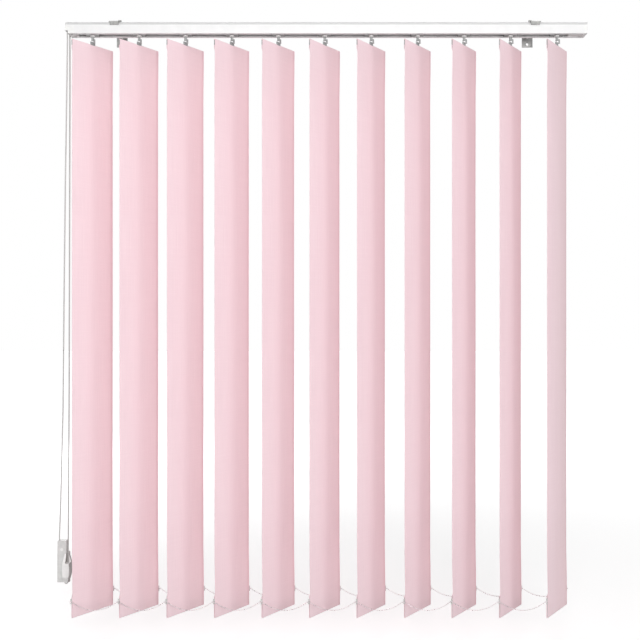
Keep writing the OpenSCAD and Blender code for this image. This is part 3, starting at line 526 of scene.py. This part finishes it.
def vaneProfile(v):
    # from the edge of the foot's flap, round the foot, up the face, over the top and down its flap
    foot, top = v["footHalf"], v["topHalf"]
    footFold = foot + v["thickness"] / 2
    topFold = vaneLength - top - v["thickness"] / 2
    footSeam, topSeam = v["footPocket"] + v["weldRise"], vaneLength - v["topPocket"] - v["weldRise"]
    weight, plate = v["weightTop"], vaneLength - v["plateFoot"]
    footFlap, topFlap = v["flapLift"] - v["footWeld"], v["flapLift"] - v["topWeld"]
    turns = [math.pi * k / v["foldSteps"] for k in range(1, v["foldSteps"])]
    spots = [(footFlap, bodyFoot), (footFlap, footSeam), ((footFlap + foot) / 2, (footSeam + weight) / 2)]
    spots += [(foot, weight), (foot, weight / 2), (foot, footFold)]
    spots += [(foot * math.cos(turn), footFold - foot * math.sin(turn)) for turn in turns]
    spots += [(-foot, footFold), (-foot, weight / 2), (-foot, weight - v["footEase"])]
    spots += [(-v["footWeld"], footSeam)]
    cuts = round((bodyTop - bodyFoot) / v["bodyStep"])
    for k in range(cuts + 1):
        z = bodyFoot + (bodyTop - bodyFoot) * k / cuts
        fromFoot, fromTop = settled(z - bodyFoot, v["settle"]), settled(bodyTop - z, v["settle"])
        spots.append((-v["footWeld"] * fromFoot - v["topWeld"] * fromTop, z))
    spots += [(-v["topWeld"], topSeam), (-top, plate + v["topEase"]), (-top, topFold)]
    spots += [(-top * math.cos(turn), topFold + top * math.sin(turn)) for turn in turns]
    spots += [(top, topFold), (top, plate), ((topFlap + top) / 2, (topSeam + plate) / 2)]
    spots += [(topFlap, topSeam), (topFlap, bodyTop)]
    return spots


def profileCurve(name, spots):
    curve = bpy.data.curves.new(name, "CURVE")
    curve.dimensions = "3D"
    line = curve.splines.new("POLY")
    line.points.add(len(spots) - 1)
    for point, (y, z) in zip(line.points, spots):
        point.co = (0, y, z, 1)
    holder = bpy.data.objects.new(name, curve)
    bpy.context.scene.collection.objects.link(holder)
    return holder


def vaneTree():
    tree, way, out = startTree("foldedVane", [
        ("Profile", "Object"), ("Width", "Float"), ("Length", "Float"), ("Strips", "Int"), ("Bow", "Float"),
        ("Blend", "Float"), ("Body foot", "Float"), ("Body top", "Float"), ("Slot half", "Float"),
        ("Slot depth", "Float"), ("Ripple", "Float"), ("Ripple scale", "Vector"), ("Seed", "Float"),
        ("Turn", "Vector"), ("Place", "Vector"), ("Material", "Material")])
    line = put(tree, "GeometryNodeObjectInfo", {"Object": way["Profile"]}).outputs["Geometry"]
    rows = put(tree, "GeometryNodeAttributeDomainSize", {0: line}, component="CURVE").outputs["Point Count"]
    columns = maths(tree, "ADD", way["Strips"], 1.0)
    grid = put(tree, "GeometryNodeMeshGrid", {"Vertices X": columns, "Vertices Y": rows}).outputs["Mesh"]
    here = put(tree, "GeometryNodeInputPosition").outputs[0]  # of the grid, the line or the rolled strip
    spot = apart(tree, here)
    lastRow = maths(tree, "SUBTRACT", rows, 1.0)
    row = maths(tree, "ROUND", maths(tree, "MULTIPLY", maths(tree, "ADD", spot[1], 0.5), lastRow))
    onLine = put(tree, "GeometryNodeSampleIndex", {"Geometry": line, "Value": here, "Index": row},
                 data_type="FLOAT_VECTOR", domain="POINT").outputs[0]
    along = put(tree, "GeometryNodeSplineParameter").outputs["Length"]
    lengthOn = put(tree, "GeometryNodeSampleIndex", {"Geometry": line, "Value": along, "Index": row},
                   data_type="FLOAT", domain="POINT").outputs[0]
    side = maths(tree, "MULTIPLY", spot[0], way["Width"])
    flat = put(tree, "ShaderNodeCombineXYZ", {0: side, 1: lengthOn}).outputs[0]
    mapped = put(tree, "GeometryNodeStoreNamedAttribute", {
        "Geometry": grid, "Name": "clothFlat", "Value": flat},
        data_type="FLOAT2", domain="CORNER").outputs[0]
    placed = apart(tree, onLine)
    rolled = put(tree, "ShaderNodeCombineXYZ", {0: side, 1: placed[1], 2: placed[2]}).outputs[0]
    shaped = put(tree, "GeometryNodeSetPosition", {"Geometry": mapped, "Position": rolled}).outputs[0]
    low = ease(tree, spot[2], way["Body foot"], maths(tree, "ADD", way["Body foot"], way["Blend"]))
    high = ease(tree, spot[2], way["Body top"], maths(tree, "SUBTRACT", way["Body top"], way["Blend"]))
    freed = maths(tree, "MULTIPLY", low, high)
    share = maths(tree, "DIVIDE", maths(tree, "MULTIPLY", spot[0], 2.0), way["Width"])
    arch = maths(tree, "SUBTRACT", 1.0, maths(tree, "MULTIPLY", share, share))
    scaled = put(tree, "ShaderNodeVectorMath", {0: here, 1: way["Ripple scale"]}, operation="MULTIPLY")
    waver = put(tree, "ShaderNodeTexNoise", {
        "Vector": scaled.outputs[0], "W": way["Seed"], "Scale": 1.0, "Detail": 1.0},
        noise_dimensions="4D").outputs["Fac"]
    swing = maths(tree, "MULTIPLY", maths(tree, "SUBTRACT", waver, 0.5), maths(
        tree, "MULTIPLY", way["Ripple"], 2.0))
    push = maths(tree, "SUBTRACT", swing, maths(tree, "MULTIPLY", arch, way["Bow"]))
    shift = put(tree, "ShaderNodeCombineXYZ", {1: maths(tree, "MULTIPLY", push, freed)}).outputs[0]
    bowed = put(tree, "GeometryNodeSetPosition", {"Geometry": shaped, "Offset": shift}).outputs[0]
    inSlot = maths(tree, "LESS_THAN", maths(tree, "ABSOLUTE", spot[0]), way["Slot half"])
    nearTop = maths(tree, "GREATER_THAN", spot[2], maths(
        tree, "SUBTRACT", way["Length"], way["Slot depth"]))
    opened = put(tree, "GeometryNodeDeleteGeometry", {
        "Geometry": bowed, "Selection": maths(tree, "MULTIPLY", inSlot, nearTop)}, domain="FACE").outputs[0]
    hung = put(tree, "GeometryNodeTransform", {
        "Geometry": opened, "Translation": way["Place"], "Rotation": way["Turn"]}).outputs[0]
    endTree(tree, hung, out, way["Material"])
    return tree


def thickened(host):
    wall = host.modifiers.new("thickness", "SOLIDIFY")
    wall.thickness = vaneValues["thickness"]
    wall.offset = 0.0
    wall.use_even_offset = True
    wall.material_offset_rim = 1


foldedVane = vaneTree()
profileSpots = vaneProfile(vaneValues)
profile = profileCurve("vaneProfile", profileSpots)
for number in vaneNumbers:
    body = "vane_" + number
    pivot = pivotOf[body]
    piece = grown("vane_cloth_" + number, foldedVane, {
        "Profile": profile, "Width": vaneValues["width"], "Length": vaneLength,
        "Strips": vaneValues["strips"], "Bow": vaneValues["bow"], "Blend": vaneValues["blend"],
        "Body foot": bodyFoot, "Body top": bodyTop,
        "Slot half": vaneValues["slotHalf"], "Slot depth": vaneValues["slotDepth"],
        "Ripple": vaneValues["ripple"], "Ripple scale": vaneValues["rippleScale"],
        "Seed": vaneValues["seedStep"] * int(number), "Turn": (0.0, 0.0, openAngle),
        "Place": (pivot.x, pivot.y, vaneFoot), "Material": cloth}, thickened)
    piece.data.materials.clear()
    piece.data.materials.append(cloth)
    piece.data.materials.append(cutEdge)
    piece.data.shade_smooth()
    piece.data.set_sharp_from_angle(angle=math.radians(vaneValues["sharpDegrees"]))
    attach(piece, body)
    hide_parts(body)
bpy.data.objects.remove(profile)


# Bottom chains: a ring at each hook, sagging threads of beads between the rings
chainValues = {
    "hookOut": 0.0475, "hookHeight": 0.028, "ring": 0.002, "wire": 0.0005, "thread": 0.0004,
    "bead": 0.001, "beadStep": 0.004, "sag": 0.014,
    "ringSides": 20, "wireSides": 8, "threadSides": 6, "threadSpots": 25, "beadDetail": 2,
}


def circle(tree, sides, radius):
    inputs = {"Resolution": sides, "Radius": radius}
    return put(tree, "GeometryNodeCurvePrimitiveCircle", inputs, mode="RADIUS").outputs[0]


def chainTree():
    tree, way, out = startTree("bottomChain", [
        ("Start", "Vector"), ("Pitch", "Float"), ("Rings", "Int"), ("Ring radius", "Float"),
        ("Wire radius", "Float"), ("Thread radius", "Float"), ("Bead radius", "Float"),
        ("Bead step", "Float"), ("Sag", "Float"), ("Ring sides", "Int"), ("Wire sides", "Int"),
        ("Thread sides", "Int"), ("Thread spots", "Int"), ("Bead detail", "Int"),
        ("Material", "Material")])
    step = put(tree, "ShaderNodeCombineXYZ", {0: way["Pitch"]}).outputs[0]
    hooks = put(tree, "GeometryNodeMeshLine", {
        "Count": way["Rings"], "Start Location": way["Start"], "Offset": step}, mode="OFFSET").outputs[0]
    spans = put(tree, "GeometryNodeMeshLine", {
        "Count": maths(tree, "SUBTRACT", way["Rings"], 1.0), "Start Location": way["Start"],
        "Offset": step}, mode="OFFSET").outputs[0]
    loop = circle(tree, way["Ring sides"], way["Ring radius"])
    wire = circle(tree, way["Wire sides"], way["Wire radius"])
    ring = put(tree, "GeometryNodeCurveToMesh", {"Curve": loop, "Profile Curve": wire}).outputs[0]
    nearEnd = put(tree, "ShaderNodeCombineXYZ", {0: way["Ring radius"]}).outputs[0]
    farX = maths(tree, "SUBTRACT", way["Pitch"], way["Ring radius"])
    farEnd = put(tree, "ShaderNodeCombineXYZ", {0: farX}).outputs[0]
    chord = put(tree, "GeometryNodeCurvePrimitiveLine", {"Start": nearEnd, "End": farEnd}).outputs[0]
    fine = put(tree, "GeometryNodeResampleCurve", {"Curve": chord, "Count": way["Thread spots"]}).outputs[0]
    share = put(tree, "GeometryNodeSplineParameter").outputs["Factor"]
    hang = maths(tree, "MULTIPLY", share, maths(tree, "SUBTRACT", 1.0, share))  # a quarter in the middle
    drop = maths(tree, "MULTIPLY", hang, maths(tree, "MULTIPLY", way["Sag"], -4.0))
    hung = put(tree, "GeometryNodeSetPosition", {
        "Geometry": fine, "Offset": put(tree, "ShaderNodeCombineXYZ", {2: drop}).outputs[0]}).outputs[0]
    outline = circle(tree, way["Thread sides"], way["Thread radius"])
    thread = put(tree, "GeometryNodeCurveToMesh", {"Curve": hung, "Profile Curve": outline}).outputs[0]
    spots = put(tree, "GeometryNodeCurveToPoints", {"Curve": hung, "Length": way["Bead step"]},
                mode="LENGTH").outputs["Points"]
    ball = put(tree, "GeometryNodeMeshIcoSphere", {
        "Radius": way["Bead radius"], "Subdivisions": way["Bead detail"]}).outputs[0]
    beads = put(tree, "GeometryNodeInstanceOnPoints", {"Points": spots, "Instance": ball}).outputs[0]
    span = put(tree, "GeometryNodeJoinGeometry")
    for part in (thread, beads):
        tree.links.new(part, span.inputs[0])
    whole = put(tree, "GeometryNodeJoinGeometry")
    for points, part in ((hooks, ring), (spans, span.outputs[0])):
        copies = put(tree, "GeometryNodeInstanceOnPoints", {"Points": points, "Instance": part}).outputs[0]
        tree.links.new(copies, whole.inputs[0])
    endTree(tree, whole.outputs[0], out, way["Material"])
    return tree


bottomChain = chainTree()
for name, side in (("front", -1), ("rear", 1)):
    reach = side * chainValues["hookOut"]
    start = (firstPivot.x + reach * math.cos(openAngle), firstPivot.y + reach * math.sin(openAngle),
             vaneFoot + chainValues["hookHeight"])
    piece = grown(name + "_bead_chain", bottomChain, {
        "Start": start, "Pitch": vanePitch, "Rings": len(vaneNumbers), "Ring radius": chainValues["ring"],
        "Wire radius": chainValues["wire"], "Thread radius": chainValues["thread"],
        "Bead radius": chainValues["bead"], "Bead step": chainValues["beadStep"],
        "Sag": chainValues["sag"], "Ring sides": chainValues["ringSides"],
        "Wire sides": chainValues["wireSides"], "Thread sides": chainValues["threadSides"],
        "Thread spots": chainValues["threadSpots"], "Bead detail": chainValues["beadDetail"],
        "Material": chainPlastic})
    piece.data.shade_smooth()
    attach(piece, name + "_chain")
    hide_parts(name + "_chain")
    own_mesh(piece)
print("chains made")


# Stage: a pale floor under the vanes, white all round, soft lamps
stageValues = {
    "floorGap": 0.07, "floorSize": 30.0, "worldDim": 0.5,
    "shade": 0.3, "pale": 0.95,  # the floor's grey in the light that it gives the blind, and as it is seen
    "nearGlow": 0.2, "farGlow": 0.6, "glowFrom": 0.5, "glowReach": 3.0,  # white far from the middle
    "lamps": [
        # name, place, width, height, power
        ("key", (0.2, -2.7, -0.15), 1.6, 1.6, 48.5),
        ("side", (2.7, -1.9, -0.4), 0.8, 1.4, 12.0),
        ("top", (-0.6, -2.0, 1.6), 1.6, 1.2, 12.0),
        ("back", (-1.6, 2.0, 0.4), 2.0, 1.8, 26.0),
    ],
}


def seenStraight(tree):
    # 1 where the camera looks, also past glass and in a mirror, 0 for the light on other things
    ray = put(tree, "ShaderNodeLightPath").outputs
    other = maths(tree, "MAXIMUM", ray["Is Glossy Ray"], ray["Is Transmission Ray"])
    return maths(tree, "MAXIMUM", ray["Is Camera Ray"], other)


def addFloor(values):
    mesh = bpy.data.meshes.new("floor")
    half, level = values["floorSize"] / 2, cadLow.z - values["floorGap"]
    corners = [(-half, -half, level), (half, -half, level), (half, half, level), (-half, half, level)]
    mesh.from_pydata(corners, [], [(0, 1, 2, 3)])
    material = bpy.data.materials.new("floor")
    material.use_nodes = True
    tree = material.node_tree
    tree.nodes.clear()
    seen = seenStraight(tree)
    dull = put(tree, "ShaderNodeBsdfDiffuse", {"Color": (values["shade"],) * 3 + (1,)})
    lit = put(tree, "ShaderNodeBsdfDiffuse", {"Color": (values["pale"],) * 3 + (1,)})
    away = put(tree, "ShaderNodeVectorMath", {
        0: put(tree, "ShaderNodeTexCoord").outputs["Object"], 1: (0.0, 0.0, level)}, operation="DISTANCE")
    strength = ease(tree, away.outputs["Value"], values["glowFrom"], values["glowReach"],
                    values["nearGlow"], values["farGlow"])
    glow = put(tree, "ShaderNodeEmission", {"Strength": strength})
    bright = put(tree, "ShaderNodeAddShader", {0: lit.outputs[0], 1: glow.outputs[0]})
    both = put(tree, "ShaderNodeMixShader", {0: seen, 1: dull.outputs[0], 2: bright.outputs[0]})
    put(tree, "ShaderNodeOutputMaterial", {"Surface": both.outputs[0]})
    mesh.materials.append(material)
    floor = bpy.data.objects.new("floor", mesh)
    bpy.context.scene.collection.objects.link(floor)


def addWorld(values):
    world = bpy.data.worlds.new("studio")
    world.use_nodes = True
    tree = world.node_tree
    tree.nodes.clear()
    strength = ease(tree, seenStraight(tree), 0.0, 1.0, values["worldDim"], 1.0, "LINEAR")
    sky = put(tree, "ShaderNodeBackground", {"Color": (1, 1, 1, 1), "Strength": strength})
    put(tree, "ShaderNodeOutputWorld", {"Surface": sky.outputs[0]})
    bpy.context.scene.world = world


def addLamps(values):
    middle = (cadLow + cadHigh) / 2
    for name, place, width, height, power in values["lamps"]:
        data = bpy.data.lights.new(name, "AREA")
        data.shape = "RECTANGLE"
        data.size = width
        data.size_y = height
        data.energy = power
        lamp = bpy.data.objects.new(name, data)
        lamp.location = place
        lamp.rotation_euler = (middle - Vector(place)).to_track_quat("-Z", "Y").to_euler()
        bpy.context.scene.collection.objects.link(lamp)


addFloor(stageValues)
addWorld(stageValues)
addLamps(stageValues)
bpy.context.scene.view_settings.view_transform = "Standard"
print("stage made")
